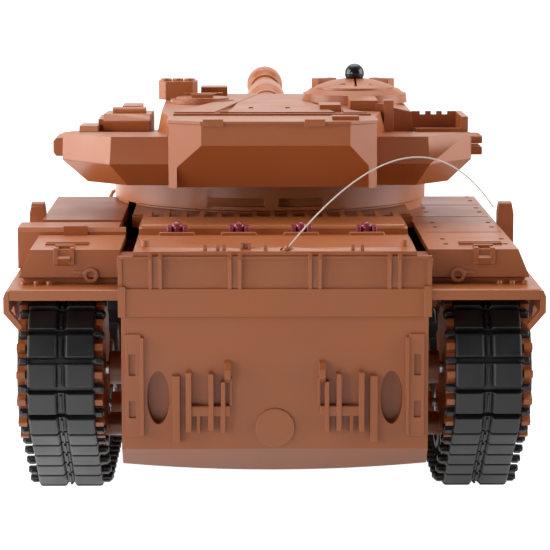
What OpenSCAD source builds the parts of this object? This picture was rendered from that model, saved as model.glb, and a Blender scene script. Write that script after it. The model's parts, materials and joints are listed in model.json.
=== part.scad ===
// Radio-controlled battle tank, about 1:21: moulded shells, drive gear, rubber tracks and a turning turret.
// +Y is forward, +X is the tank's right-hand side, +Z is up.
// The origin is on the ground, under the turret's axis.

/* [Hull] */
// Width over the two side skirts
body_w = 171; // [170.4:0.2:172]
// Width of the tub between the tracks
tub_w = 97; // [96:0.2:97.4]
// Distance from the turret's axis to the rear plate
rear_len = 150; // [148:0.5:152]
// Distance from the turret's axis to the nose
nose_len = 158; // [156:0.5:162]
// Height of the engine deck
deck_z = 87.5; // [87:0.1:88]
// Height of the fender plates
fender_z = 74; // [73.6:0.1:74.4]
// Height of the seam between the tub and the upper hull
seam_z = 65.3; // [65:0.1:66]
// Wall thickness of the mouldings
wall = 2; // [1.6:0.1:2.2]

/* [Running gear] */
// Radius of a road wheel
wheel_r = 16.8; // [16.4:0.1:16.9]
// Distance between road wheels
wheel_pitch = 37; // [36.6:0.1:37.2]
// Teeth on each drive sprocket
sprocket_teeth = 16; // [16]
// Radius of the sprocket's rim
sprocket_r = 20.5; // [20.5]
// Height of the drive axle
drive_z = 45; // [44.6:0.1:45.2]
// Radius of the front idler
idler_r = 17; // [16.6:0.1:17.2]

/* [Turret] */
// Height of the turret's roof
roof_z = 122.4; // [122:0.1:123]
// Radius of the round plinth under the turret
plinth_r = 57.6; // [56:0.2:58.4]
// Angle of the gun above the horizon at rest
gun_rest = 1.3; // [0:0.1:3]
// Distance from the trunnions to the muzzle
gun_len = 203; // [190:1:210]

/* [Hidden] */
$fn = 48;

plastic = "#b5683f";        // sand-brown moulded plastic
rubber = "#1d1e20";
steel = "#b9bcc0";
nylon = "#ece6d8";
dark = "#24262a";

half_w = body_w / 2;        // outer face of a side skirt
tub_h = tub_w / 2;          // outer face of the tub's side wall
skirt_t = 1.8;
fender_t = 3.4;
glacis_y = 24;              // where the deck ends and the glacis begins
belly_z = 14;
belly_curve_r = 400;        // radius of the belly's curve across the tub
run_gap = 0.06;             // running clearance of a shaft in its bearing
free_gap = 0.3;             // clearance of parts that never touch

// Track: a moulded rubber band with one shoe for each sprocket tooth. The path is the band's middle line.
band_t = 1.6;
shoe_t = 2.4;
track_in = 57.2;            // distance of the band's inner edge from the tank's middle plane
track_out = 78.4;
belt_r = band_t / 2;
wheel_z = band_t + shoe_t + wheel_r;
first_wheel_y = -98;
wheel_y = [for (i = [0:5]) first_wheel_y + i * wheel_pitch];
drive_y = -126;
idler_y = 130;
idler_z = 38;
belt_circles = [[wheel_y[0], wheel_z, wheel_r + belt_r], [wheel_y[5], wheel_z, wheel_r + belt_r],
    [idler_y, idler_z, idler_r + belt_r], [drive_y, drive_z, sprocket_r + belt_r]];

// The belt goes round the circles anticlockwise, as seen with +Y to the right, from the rearmost road
// wheel.
function follow(i) = (i + 1) % 4;
function before(i) = (i + 3) % 4;
function centre_gap(a, b) = norm([b[0] - a[0], b[1] - a[1]]);
function heading(i) = let (a = belt_circles[i], b = belt_circles[follow(i)])
    atan2(b[1] - a[1], b[0] - a[0]) + asin((a[2] - b[2]) / centre_gap(a, b));
function run_len(i) = let (a = belt_circles[i], b = belt_circles[follow(i)])
    sqrt(pow(centre_gap(a, b), 2) - pow(a[2] - b[2], 2));
function turn(i) = (heading(i) - heading(before(i)) + 720) % 360;
function arc_len(i) = belt_circles[i][2] * turn(i) * PI / 180;
function stage_len(i) = arc_len(i) + run_len(i);
belt_len = stage_len(0) + stage_len(1) + stage_len(2) + stage_len(3);
link_count = round(belt_len / (2 * PI * (sprocket_r + belt_r) / sprocket_teeth));
link_pitch = belt_len / link_count;

// Point on the belt's middle line at length s, as [y, z, heading]
function on_belt(s, i = 0) = s > stage_len(i) && i < 3 ? on_belt(s - stage_len(i), i + 1) :
    let (c = belt_circles[i], arc = min(s, arc_len(i)), t = heading(before(i)) + arc / c[2] * 180 / PI,
        run = s - arc)
    [c[0] + c[2] * sin(t) + run * cos(t), c[1] - c[2] * cos(t) + run * sin(t), t];
// The same point moved outward by h
function off_belt(s, h) = let (p = on_belt((s + belt_len) % belt_len)) [p[0] + h * sin(p[2]),
    p[1] - h * cos(p[2])];

// A point hardly above the ground is put on it, so that the last shoe of the ground run lies flat
function grounded(p) = [p[0], p[1] < 0.005 ? 0 : p[1]];

// The sprocket's teeth meet the middles of the shoes
sprocket_start = stage_len(0) + stage_len(1) + stage_len(2);
first_shoe = ceil(sprocket_start / link_pitch);
sprocket_phase = heading(2) - 90
    + (first_shoe * link_pitch - sprocket_start) / (sprocket_r + belt_r) * 180 / PI;

// Gun
trunnion_y = 45;
trunnion_z = 109;
mantlet_r = 11;

// Drive gears
gear_module = 0.8;
gear_teeth = 36;
pinion_teeth = 12;
drive_centres = gear_module * (gear_teeth + pinion_teeth) / 2;
motor_angle = 25;           // the motor sits ahead of the axle and a little above it
motor_y = drive_y + drive_centres * cos(motor_angle);
motor_z = drive_z + drive_centres * sin(motor_angle);
gear_x = 36;                // middle plane of the left and right gear pairs
gear_w = 4;

// Turret traverse gears
ring_module = 1;
ring_teeth = 84;
ring_pinion_teeth = 12;
ring_centres = ring_module * (ring_teeth + ring_pinion_teeth) / 2;
ring_z = 77;
ring_t = 3.4;
neck_r = 38;

// ---------- shared shapes ----------

// A box given by its limits on each axis
module span(x, y, z) {
    translate([x[0], y[0], z[0]]) cube([x[1] - x[0], y[1] - y[0], z[1] - z[0]]);
}

// A side outline of [y, z] points, extruded across from x[0] to x[1]
module across(x, points) {
    translate([x[0], 0, 0]) rotate([90, 0, 90]) linear_extrude(x[1] - x[0]) polygon(points);
}

// A front outline of [x, z] points, extruded along from y[0] to y[1]
module along(y, points) {
    translate([0, y[1], 0]) rotate([90, 0, 0]) linear_extrude(y[1] - y[0]) polygon(points);
}

// A plan outline, extruded from z[0] to z[1]
module upright(z, points) {
    translate([0, 0, z[0]]) linear_extrude(z[1] - z[0]) polygon(points);
}

// A round bar across the tank from x[0] to x[1] at [y, z]
module bar(x, at, r) {
    translate([x[0], at[0], at[1]]) rotate([0, 90, 0]) cylinder(h = x[1] - x[0], r = r);
}

module both_sides() {
    children();
    mirror([1, 0, 0]) children();
}

module on_side(side) {
    if (side > 0) children();
    else mirror([1, 0, 0]) children();
}

// A ring profile of [radius, x] points, turned about an axle that runs across the tank
module turned(at, points) {
    translate([0, at[0], at[1]]) rotate([0, 90, 0]) rotate_extrude() polygon(points);
}

// Involute spur gear outline with a tooth on its +X axis
function involute(base, angle) = let (a = angle * PI / 180)
    [base * (cos(angle) + a * sin(angle)), base * (sin(angle) - a * cos(angle))];
function polar_angle(p) = atan2(p[1], p[0]);
function roll_angle(base, r) = r <= base ? 0 : sqrt(pow(r / base, 2) - 1) * 180 / PI;
module spur_outline(m, teeth, backlash = 0.16, steps = 4) {
    pitch_r = m * teeth / 2;
    base_r = pitch_r * cos(20);
    tip_r = pitch_r + 0.92 * m;
    root_r = pitch_r - 1.2 * m;
    start_r = max(base_r, root_r);
    lean = polar_angle(involute(base_r, roll_angle(base_r, pitch_r)));
    half_tooth = 90 / teeth - backlash / 2 / pitch_r * 180 / PI;
    flank = [for (i = [0:steps]) let (r = start_r + (tip_r - start_r) * i / steps,
        a = polar_angle(involute(base_r, roll_angle(base_r, r)))) [r, a - lean - half_tooth]];
    polygon([for (k = [0:teeth - 1]) let (turn_k = k * 360 / teeth)
        each concat([[root_r * cos(turn_k + flank[0][1]), root_r * sin(turn_k + flank[0][1])]],
            [for (p = flank) [p[0] * cos(turn_k + p[1]), p[0] * sin(turn_k + p[1])]],
            [for (i = [steps:-1:0]) let (p = flank[i]) [p[0] * cos(turn_k - p[1]),
                p[0] * sin(turn_k - p[1])]],
            [[root_r * cos(turn_k - flank[0][1]), root_r * sin(turn_k - flank[0][1])]])]);
}

// ---------- hull ----------

// the seam is level behind this point and slopes down to the nose in front of it
seam_break_y = 113;
seam_nose = [nose_len - 1, 54.2];
tub_outline = [[-rear_len, 23], [-rear_len, seam_z], [seam_break_y, seam_z], seam_nose,
    [nose_len - 6, 44], [118, belly_z], [-140, belly_z]];
tub_inside = [[-rear_len + wall, 25], [-rear_len + wall, seam_z + 5], [112, seam_z + 5],
    [nose_len - 3.4, 53], [nose_len - 8.4, 45], [116, belly_z + 5], [-140, belly_z + 5]];
battery_bay = [[-32, 32], [-24, 54]];     // x and y limits of the bay
cover_z = belly_z + 1.4;
screw_x = tub_h - wall - 3.1;
screw_y = [-140, 60];
board_z = 46;
// Upright fins of a tow bracket, as [x, depth, lowest z, highest z, half its thickness]
hook_fins = [[16.4, 3, 28.6, 45, 0.7], [20.2, 3.4, 29.4, 47.6, 0.8], [27.3, 3.4, 29, 48, 0.9],
    [31.2, 2.6, 25.5, 46.8, 1.2]];
oval_at = [36.9, 39.5];     // x and z of the oval recess beside each tow bracket
oval_r = [3.5, 8.5];

// The belly's height at x: it bulges down a little in the middle
function belly_point(x) = [x, belly_z + belly_curve_r - sqrt(pow(belly_curve_r, 2) - x * x)];

module tow_bracket() {
    back = -rear_len;
    for (f = hook_fins) span([f[0] - f[4], f[0] + f[4]], [back - f[1], back + 0.5], [f[2], f[3]]);
    span([hook_fins[0][0], hook_fins[2][0]], [back - 2.2, back + 0.5], [34.2, 36]);
    span([23.6, 24.8], [back - 2.4, back + 0.5], [28.6, 36]);
    span([13.6, 14.4], [back - 1.4, back + 0.5], [36.8, 46]);
    across([14, 15.9], [[back + 0.5, 44.4], [back - 2, 44.6], [back - 3.4, 46], [back - 3.4, 49],
        [back - 2.2, 51], [back + 0.5, 51.6]]);
}

module rear_edge_strip() {
    back = -rear_len;
    difference() {
        span([42.4, 47.2], [back - 1, back + 0.5], [27, 60]);
        for (z = [[33.2, 38.6], [46.8, 53.5]]) span([44, 46.1], [back - 2, back + 1], z);
    }
    span([41.4, 42.4], [back - 1.8, back + 0.5], [27.4, 59]);
}

module lower_hull() color(plastic) difference() {
    union() {
        intersection() {
            across([-tub_h, tub_h], tub_outline);
            along([-rear_len - 5, nose_len + 5], concat([for (i = [-6:6]) belly_point(tub_h * i / 6)],
                [[tub_h, 80], [-tub_h, 80]]));
        }
        both_sides() {
            tow_bracket();
            rear_edge_strip();
            for (y = wheel_y) bar([tub_h - 0.5, 56.4], [y, wheel_z], 4);
            bar([tub_h - 0.5, 56.4], [idler_y, idler_z], 4.6);
            bar([tub_h - 0.5, 53.6], [drive_y, drive_z], 5.4);
        }
        translate([0, -rear_len + 0.5, 29.8]) rotate([90, 0, 0]) cylinder(h = 1.3, r = 6.3);
    }
    difference() {
        across([-tub_h + wall, tub_h - wall], tub_inside);
        both_sides() {
            for (y = wheel_y) bar([33, tub_h - 1], [y, wheel_z], 4);
            bar([33, tub_h - 1], [idler_y, idler_z], 4);
            for (y = screw_y) translate([screw_x, y, 0]) cylinder(h = seam_z, r = 3.4);
            for (y = [70, 100]) translate([30, y, 0]) cylinder(h = board_z, r = 2.5);
            span([oval_at[0] - 5, oval_at[0] + 5], [-rear_len, -rear_len + 6], [28, 51]);
        }
    }
    both_sides() {
        for (y = wheel_y) bar([28, 60], [y, wheel_z], 1.5 + run_gap);
        bar([28, 60], [idler_y, idler_z], 1.5 + run_gap);
        bar([40, 60], [drive_y, drive_z], 2 + run_gap);
        for (y = screw_y) translate([screw_x, y, 0]) {
            cylinder(h = seam_z - 8, r = 2.4);
            cylinder(h = seam_z + 10, r = 1.4);
        }
        along([-rear_len - 1, -rear_len + 4.6], [for (a = [0:10:350])
            [oval_at[0] + oval_r[0] * cos(a), oval_at[1] + oval_r[1] * sin(a)]]);
    }
    span([battery_bay[0][0], battery_bay[0][1]], [battery_bay[1][0], battery_bay[1][1]],
        [10, cover_z + 2.4]);
    span([battery_bay[0][0] + 3, battery_bay[0][1] - 3], [battery_bay[1][0] + 3,
        battery_bay[1][1] - 3], [10, 22]);
    span([-6, 6], [-68, -60], [10, 30]);
    for (x = [-8:4:8]) translate([x, 84, 10]) cylinder(h = 12, r = 1.1);
}

rear_z = 85.6;              // top of the rear plate, where the engine deck's edge lies
deck_front = -60;
deck_gap_x = 49.2;          // half the width of the opening that the engine deck sits in
deck_half = 44.6;
sponson_top = 85;
sponson_back = -137.6;
sponson_foot = -135;        // the sponson's rear end overhangs its foot
rib_x = [12.6, 37.6];

sponson_section = [[deck_gap_x, fender_z - 1], [deck_gap_x, sponson_top], [78, sponson_top], [81.6, 76.2],
    [80.4, 75.6], [80.4, fender_z - 1]];
sponson_outline = [[sponson_foot, fender_z - 1], [sponson_foot, 75.6], [sponson_back, 76.2],
    [sponson_back + 0.6, sponson_top], [glacis_y - 4, sponson_top], [146, 60.5], [146, 57.4],
    [26, fender_z - 1]];
fender_outline = [[-rear_len, fender_z - fender_t], [-rear_len, fender_z - 0.4],
    [-rear_len + 0.6, fender_z], [26, fender_z], [152, 60.2], [152, 58.2], [26, fender_z - fender_t]];

// A rib on the rear plate: a channel whose two flanges stand proud of its middle and curve out towards
// the top
module plate_rib(x) {
    back = -rear_len;
    for (flange = [[x - 2.1, x - 1], [x + 1, x + 2.1]])
        across(flange, [[back + 0.3, 73], [back - 1.2, 74.6],
        [back - 2, 79], [back - 2.6, rear_z - 1.6], [back - 1.8, rear_z + 0.2], [back + 0.3, rear_z - 1]]);
    across([x - 1.1, x + 1.1], [[back + 0.3, 73], [back - 0.6, 75], [back - 1.5, rear_z - 0.8],
        [back + 0.3, rear_z - 1]]);
}

module hull_centre() {
    glacis = [[deck_front, deck_z], [glacis_y, deck_z], [nose_len - 1, 57], [nose_len, 54.3],
        [nose_len - 2, 54.4], [seam_break_y, seam_z + 0.1], [deck_front, seam_z + 0.1]];
    hollow = [[-62, deck_z - wall], [glacis_y - 0.5, deck_z - wall], [nose_len - 8, 56.2],
        [seam_break_y - 3, seam_z - 1], [-62, seam_z - 1]];
    difference() {
        across([-tub_h, tub_h], glacis);
        across([-tub_h + wall, tub_h - wall], hollow);
    }
    both_sides() {
        span([tub_h - wall, tub_h], [-rear_len, -58], [seam_z + 0.1, fender_z]);
        for (y = screw_y) translate([screw_x, y, seam_z + 0.1]) cylinder(h = 8.4, r = 3.4);
    }
    // rear plate with its ribs
    span([-tub_h, tub_h], [-rear_len, -rear_len + wall], [seam_z + 0.1, rear_z - 1]);
    span([-tub_h, tub_h], [-rear_len - 0.8, -rear_len + 0.2], [seam_z + 0.1, 74.4]);
    span([-tub_h, tub_h], [-rear_len - 0.7, -rear_len + 1], [rear_z - 1.8, rear_z - 1]);
    both_sides() {
        for (x = rib_x) plate_rib(x);
        span([deck_half + 0.3, deck_gap_x + 0.6], [-rear_len + 1, -128], [rear_z - 5, rear_z - 2.4]);
        span([47, 49.4], [-rear_len - 1.4, -rear_len + 2], [seam_z + 0.1, 75.2]);
        span([48, 49.4], [-rear_len - 0.4, -rear_len + 2], [seam_z + 0.1, rear_z - 1]);
    }
    // front end of the deck opening
    span([-deck_gap_x, deck_gap_x], [deck_front - 1.6, -58], [fender_z, deck_z - 0.6]);
}

module sponson() {
    intersection() {
        along([-140, 150], sponson_section);
        across([40, 90], sponson_outline);
    }
    across([tub_h - wall + 0.1, half_w - skirt_t - 0.1], fender_outline);
    // front mud flap, ahead of the skirt
    span([tub_h + 0.2, half_w - skirt_t - 0.1], [150.8, 153.8], [58.4, 60.6]);
    span([tub_h + 0.2, half_w - 0.2], [152.2, 153.8], [42, 60.6]);
}

module sponson_hollow() {
    intersection() {
        along([sponson_foot, 10], [[46, fender_z + 0.5], [46, sponson_top - wall],
            [75.6, sponson_top - wall], [78, 78], [78, fender_z + 0.5]]);
        across([40, 90], [[sponson_foot + wall, 74.4], [sponson_foot + wall, 84], [10, 84], [10, 74.4]]);
    }
}

// Raised ring under the turret, open below for the traverse gears
module turret_race() {
    difference() {
        translate([0, 0, deck_z - 8.5]) cylinder(h = 9, r = plinth_r - 1, $fn = 96);
        translate([0, 0, deck_z - 12]) cylinder(h = 10, r = plinth_r - 2.2, $fn = 96);
    }
}

// Latch, lifting ring and row of rivets at the back of each sponson
module sponson_rear_trim() {
    back = sponson_back;
    for (x = [[63.8, 65.2], [69, 70.4]]) across(x, [[back + 0.3, 80.2], [back - 0.7, 80.4],
        [back - 0.2, sponson_top + 0.6],
        [back + 7, sponson_top + 0.6], [back + 7, sponson_top - 0.2]]);
    across([65, 69.2], [[back + 0.3, 80], [back - 0.3, 80.2], [back - 1.1, 82.4], [back + 0.5, 83.4]]);
    span([64, 70.2], [back + 4.6, back + 6.6], [sponson_top - 0.2, sponson_top + 1]);
    translate([58.6, back + 0.6, 77]) rotate([90, 0, 0]) difference() {
        cylinder(h = 1.4, r = 2.4);
        translate([0, 0, -1]) cylinder(h = 4, r = 1.3);
    }
    span([60.6, 64], [back - 0.6, back + 1], [77.4, 78.4]);
    for (x = [71.8, 75.9, 80]) translate([x, back - 1.2, fender_z - 0.2]) cylinder(h = 1.4, r = 0.9);
    for (y = [back + 12.4, back + 16]) span([60, 74], [y, y + 1], [sponson_top - 0.2, sponson_top + 0.6]);
}

// Grooves between the sponson's panels, and a pair of slots at each side of a panel
panel_y = [sponson_back, -92, -47, -10];
module sponson_panel_cuts() {
    for (i = [0:3]) {
        for (x = [55, 74.4]) for (dy = [13, 26]) span([x, x + 1.6],
            [panel_y[i] + dy, panel_y[i] + dy + 2.6], [sponson_top - 0.9, sponson_top + 1]);
        if (i > 0) span([deck_gap_x + 2, 77], [panel_y[i] - 0.6, panel_y[i] + 0.6],
            [sponson_top - 0.9, sponson_top + 1]);
    }
}

// The space of the lower hull, up to the seam
module below_seam() {
    across([-tub_h - 0.1, tub_h + 0.1], [[-rear_len - 9, 0], [-rear_len - 9, seam_z + 0.1],
        [seam_break_y, seam_z + 0.1],
        [seam_nose[0], seam_nose[1] + 0.1], [seam_nose[0] + 10, seam_nose[1] - 2.4],
            [seam_nose[0] + 10, 0]]);
}

// Rounded marker lamp housing standing on each fender's outer edge
module edge_lamp() hull() {
    span([half_w - 6.6, half_w - 1.2], [-63, -56], [fender_z - 0.5, 88]);
    for (y = [-61.2, -57.8]) bar([half_w - 6.2, half_w - 1.8], [y, 90.2], 1.6);
}

module upper_hull() color(plastic) difference() {
    union() {
        hull_centre();
        both_sides() {
            sponson();
            sponson_rear_trim();
        }
        // left stowage box, wider and higher than the sponson
        across([-half_w + 0.1, -deck_gap_x], [[-97.4, fender_z - 0.4], [-98, 86], [-96.6, 87.4],
            [-82, 87.4], [-80.4, 86], [-80, fender_z - 0.4]]);
        span([-70, -62], [-98.8, -97], [80, 88]);
        span([-74, -56], [-62, -50], [sponson_top - 0.2, sponson_top + 1.2]);
        span([-79, -deck_gap_x], [-74, 0], [sponson_top - 1, 87.2]);
        // driver's hatch, periscopes and a splash rail on the glacis
        across([-14, 14], [[58, 78.6], [60, 81.2], [92, 73], [92, 70.4]]);
        across([-40, 40], [[106, 67.6], [106, 70.4], [108, 70], [108, 66.8]]);
        // front tow eyes and headlight pods
        both_sides() {
            across([28, 31], [[150, 54.6], [150, 60], [160, 56.5], [161, 54.6]]);
            across([56, 68], [[124, 63], [124, 73], [136, 72], [137, 62]]);
        }
        turret_race();
        both_sides() edge_lamp();
    }
    both_sides() sponson_hollow();
    sponson_panel_cuts();
    span([-51.6, -deck_gap_x + 0.5], [-96, -1], [77, 92]);
    below_seam();
    along_antenna() translate([0, 0, -4]) cylinder(h = 14, r = 1.3 + free_gap);
    translate([0, 0, seam_z]) cylinder(h = 40, r = neck_r + free_gap);
    both_sides() {
        translate([62, 138, 68]) rotate([90, 0, 0]) cylinder(h = 4, r = 3.6, center = true);
        for (y = screw_y) translate([screw_x, y, seam_z - 1]) cylinder(h = 8, r = 1.3);
        for (x = [-74, -65.6]) span([x, x + 3.2], [-121.4, -119.6], [sponson_top - 0.9, sponson_top + 1]);
    }
}

deck_z0 = rear_z - 0.9;     // underside of the deck panel
deck_floor = 86;            // its lowest top face, in the groove where the lamps stand
hump = [[-rear_len + 0.3, deck_z0], [-rear_len + 0.3, rear_z], [-146, 86.9], [-126, 87.8], [-120, 87.4],
    [-118.6, 85.8], [-118.6, deck_z0]];
cross_bar = [[-106, deck_z0], [-106, 88], [-105.2, 89], [-104, 89.4], [-84, 89.4], [-84, deck_z0]];
lamp_x = [-31.6, -11.4, 9, 30.4];
lamp_y = -114.6;
vent_pitch = 6;

module rear_deck() color(plastic) difference() {
    union() {
        span([-deck_half, deck_half], [-rear_len + 0.3, deck_front - 2.2], [deck_z0, deck_floor]);
        across([-deck_half + 1.2, deck_half - 1.2], hump);
        across([-deck_half + 0.4, deck_half - 0.4], [for (p = hump) [p[0], min(p[1], 87)]]);
        across([-deck_half + 1, deck_half - 1], cross_bar);
        across([-deck_half + 0.1, deck_half - 0.1], [for (p = cross_bar) [p[0], min(p[1], 88.4)]]);
        span([-deck_half, deck_half], [-84.2, deck_front - 2.2], [deck_floor - 0.1, 88]);
        for (x = [-7:7]) span([x * vent_pitch - 0.8, x * vent_pitch + 0.8], [-83, deck_front - 4],
            [87.8, 89.4]);
        // small lugs along the rear edge
        for (x = [-22, -18, -16, -3, 24.6, 27.6]) span([x - 0.5, x + 0.5], [-148, -146.4],
            [deck_floor - 0.1, 88]);
        for (x = [-10.4, -8]) span([x - 0.4, x + 0.4], [-147.6, -144.6], [deck_floor - 0.1, 88.6]);
        span([-10.4, -8], [-146.6, -145.8], [deck_floor - 0.1, 88.2]);
        both_sides() translate([41, -143.4, 86]) cylinder(h = 3, r = 1.3);
    }
    for (x = lamp_x) translate([x, lamp_y, 80]) cylinder(h = 12, r = 1.6);
    along_antenna() translate([0, 0, -4]) cylinder(h = 14, r = 1.3 + free_gap);
    both_sides() translate([40, -70, 80]) cylinder(h = 14, r = 1.4);
}

// Four lamps: a base strip, two lobes and a domed middle on a stem
module deck_lamps() color("#a03048") for (x = lamp_x) translate([x, lamp_y, 0]) {
    base = deck_floor + 0.05;
    translate([0, 0, deck_z0 + 0.1]) cylinder(h = 2, r = 1.5);
    span([-5.8, 5.8], [-3.6, -2.3], [base, 88.3]);
    for (dx = [-3.4, 1.8]) span([dx, dx + 1.6], [-2.4, 1.4], [base, 90.2]);
    span([-1.9, 1.9], [-2.4, 1.4], [base, 89.2]);
    translate([0, 0, 89.4]) sphere(r = 2);
}

module side_skirt(side) color(plastic) on_side(side) difference() {
    union() {
        intersection() {
            across([half_w - skirt_t, half_w], [[-rear_len, 66.4], [-rear_len, fender_z - 0.6],
                [26, fender_z - 0.6], [152, 60], [152, 50], [140, 49], [20, 59.4], [-124, 59.4],
                [-132, 66.4]]);
            along([-rear_len, 152], [[half_w - skirt_t, 0], [half_w - skirt_t, fender_z],
                [half_w - 1, fender_z], [half_w, fender_z - 2.4], [half_w, 0]]);
        }
        for (y = [-96, -48, 0, 48]) across([half_w - 0.2, half_w + 0.5], [[y, 61],
            [y, fender_z - 2.9 - max(0, y - 26) * 0.11],
            [y + 44, fender_z - 2.9 - max(0, y + 18) * 0.11], [y + 44, 61 - max(0, y + 24) * 0.09]]);
        // turned-in stub at the rear corner
        along([-rear_len, -rear_len + 3], [[half_w - 5, 60.8], [half_w - 5.9, 62.4],
            [half_w - 1.7, 67.6], [half_w - 1.7, 70], [half_w, 70], [half_w, 66.6]]);
    }
    for (y = [-100, -52, -4, 44]) translate([half_w, y, 68]) rotate([0, 90, 0])
        cylinder(h = 5, r = 1, center = true);
}

// ---------- running gear ----------

// Outline of the band with its shoes: shoe_h is the height of the shoes over the band
module belt_outline(shoe_h) {
    edge = belt_r;
    difference() {
        polygon([for (k = [0:link_count - 1]) for (q = [[-0.46, 0], [-0.4, 1], [0.4, 1], [0.46, 0]])
            grounded(off_belt((k + q[0]) * link_pitch, edge + q[1] * shoe_h))]);
        polygon([for (k = [0:2 * link_count - 1]) off_belt(k * link_pitch / 2, -edge)]);
    }
}

module track(side) color(rubber) on_side(side) rotate([90, 0, 90]) {
    middle = (track_in + track_out) / 2;
    translate([0, 0, track_in]) linear_extrude(middle - 1 - track_in) belt_outline(shoe_t);
    translate([0, 0, middle - 1]) linear_extrude(2) belt_outline(shoe_t - 1);
    translate([0, 0, middle + 1]) linear_extrude(track_out - middle - 1) belt_outline(shoe_t);
}

module wheel_bolts(at, x, circle_r, count, r) {
    for (i = [0:count - 1]) translate([0, at[0], at[1]]) rotate([i * 360 / count, 0, 0])
        translate([x[0], circle_r, 0]) rotate([0, 90, 0]) cylinder(h = x[1] - x[0], r = r, $fn = 16);
}

// A twin-disc wheel on a stub axle, dished on its outer face
module road_wheel(side, n) color(plastic) on_side(side) {
    at = [wheel_y[n - 1], wheel_z];
    r = wheel_r - 0.35;
    bore = 1.5 + run_gap;
    turned(at, [[bore, 57.6], [5, 57.6], [6, 59], [r - 3, 59], [r - 1.6, 57.6], [r, 57.6], [r, 65.8],
        [11, 66.4], [11, 69.2], [r, 69.8], [r, 77.6], [r - 0.6, 78.2], [r - 2, 78.2], [r - 3, 77],
        [9, 75], [6.4, 75], [5.8, 78.4], [4, 79], [bore, 79]]);
    wheel_bolts(at, [74.5, 76], 8, 8, 0.8);
}

module idler(side) color(plastic) on_side(side) {
    at = [idler_y, idler_z];
    r = idler_r - 0.35;
    bore = 1.5 + run_gap;
    difference() {
        turned(at, [[bore, 57.6], [6, 57.6], [7, 60], [r - 3.4, 60], [r - 2, 57.6], [r, 57.6],
            [r, 65.8], [11, 66.4], [11, 69.2], [r, 69.8], [r, 77.6], [r - 1, 78.2], [r - 2.4, 78.2],
            [r - 3.4, 75.6], [7, 75.6], [6, 79], [bore, 79]]);
        wheel_bolts(at, [50, 90], 10, 6, 2.1);
    }
}

module sprocket_ring(x) {
    root = sprocket_r - 0.35;
    tip = sprocket_r + 2.9;
    translate([x[0], drive_y, drive_z]) rotate([90, 0, 90]) linear_extrude(x[1] - x[0])
        polygon([for (k = [0:sprocket_teeth - 1]) for (q = [[-4, root], [-2.5, tip], [2.5, tip], [4, root]])
            let (a = sprocket_phase + k * 360 / sprocket_teeth + q[0]) [q[1] * cos(a), q[1] * sin(a)]]);
}

module sprocket(side) color(plastic) on_side(side) {
    at = [drive_y, drive_z];
    root = sprocket_r - 0.35;
    difference() {
        union() {
            turned(at, [[0, 55], [6, 55], [6, 60], [14, 60], [16.6, 57], [root, 57], [root, 65.4],
                [15.4, 65.9], [15.4, 69.7], [root, 70.2], [root, 79.2], [17, 79.2], [16, 76.4],
                [8, 76.4], [7, 80.4], [0, 80.4]]);
            sprocket_ring([54.6, 57.2]);
            sprocket_ring([79, 81.8]);
            wheel_bolts(at, [76, 78], 11.6, 8, 1.3);
        }
        // the drive axle is pressed in here
        bar([50, 78], at, 2);
    }
}

module stub_axles() color(steel) both_sides() {
    for (at = concat([for (y = wheel_y) [y, wheel_z]], [[idler_y, idler_z]])) {
        bar([34, 80], at, 1.5);
        bar([79.3, 80.8], at, 3);
    }
}

module drive_axle(side) color(steel) on_side(side) bar([24, 78], [drive_y, drive_z], 2);

module output_gear(side) color(nylon) on_side(side) difference() {
    translate([gear_x - gear_w / 2, drive_y, drive_z]) rotate([90, 0, 90]) {
        linear_extrude(gear_w) rotate([0, 0, motor_angle]) spur_outline(gear_module, gear_teeth);
        translate([0, 0, -0.5]) cylinder(h = gear_w + 1, r = 5);
    }
    bar([20, 60], [drive_y, drive_z], 2);
}

module pinion(side) color("#c9a544") on_side(side) difference() {
    translate([gear_x - gear_w / 2 - 0.5, motor_y, motor_z]) rotate([90, 0, 90])
        linear_extrude(gear_w + 1) rotate([0, 0, motor_angle + 180 + 180 / pinion_teeth])
            spur_outline(gear_module, pinion_teeth);
    bar([20, 60], [motor_y, motor_z], 1);
}

module drive_motors() color(steel) both_sides() {
    bar([5, 30], [motor_y, motor_z], 10);
    bar([29.9, 32], [motor_y, motor_z], 3);
    bar([31, 39], [motor_y, motor_z], 0.94);
}

// Two plates joined by pillars, on either side of the gears
module gearbox_housings() color(dark) both_sides() difference() {
    union() {
        for (x = [31.8, 39.4]) across([x, x + 1.4], [[drive_y - 9, drive_z - 19.6],
            [drive_y - 9, drive_z + 19], [motor_y + 12, motor_z + 9], [motor_y + 12, motor_z - 10],
            [drive_y + 14, drive_z - 19.6]]);
        for (p = [[drive_y - 7, drive_z - 17.6], [drive_y - 7, drive_z + 17], [motor_y + 10, motor_z - 6]])
            bar([32.4, 40], p, 1.3);
    }
    bar([30, 34.4], [motor_y, motor_z], 3 + free_gap);
    bar([38, 42], [motor_y, motor_z], 1.2);
    bar([30, 42], [drive_y, drive_z], 2 + run_gap);
}

// ---------- electrics ----------

module battery_pack() color("#3f7fb0") for (i = [0:4]) bar([-25, 25], [-15.4 + i * 15, 30], 7.2);

module battery_cover() color(plastic) difference() {
    span([battery_bay[0][0] + 0.4, battery_bay[0][1] - 0.4],
        [battery_bay[1][0] + 0.4, battery_bay[1][1] - 0.4], [cover_z, cover_z + 2]);
    for (y = [0:6:30]) span([-22, 22], [y, y + 1.4], [cover_z - 1, cover_z + 0.8]);
    translate([0, 49, 10]) cylinder(h = 20, r = 1.6);
}

module circuit_board() color("#2f6b45") {
    top = board_z + 1.6;
    span([-34, 34], [66, 104], [board_z, top]);
    for (c = [[-20, 76, 12, 9], [6, 80, 9, 9], [20, 92, 10, 6]])
        span([c[0], c[0] + c[2]], [c[1], c[1] + c[3]], [top - 0.1, top + 1.8]);
    for (x = [-24, -12, 0]) translate([x, 98, top - 0.1]) cylinder(h = 7, r = 2.6);
}

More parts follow.
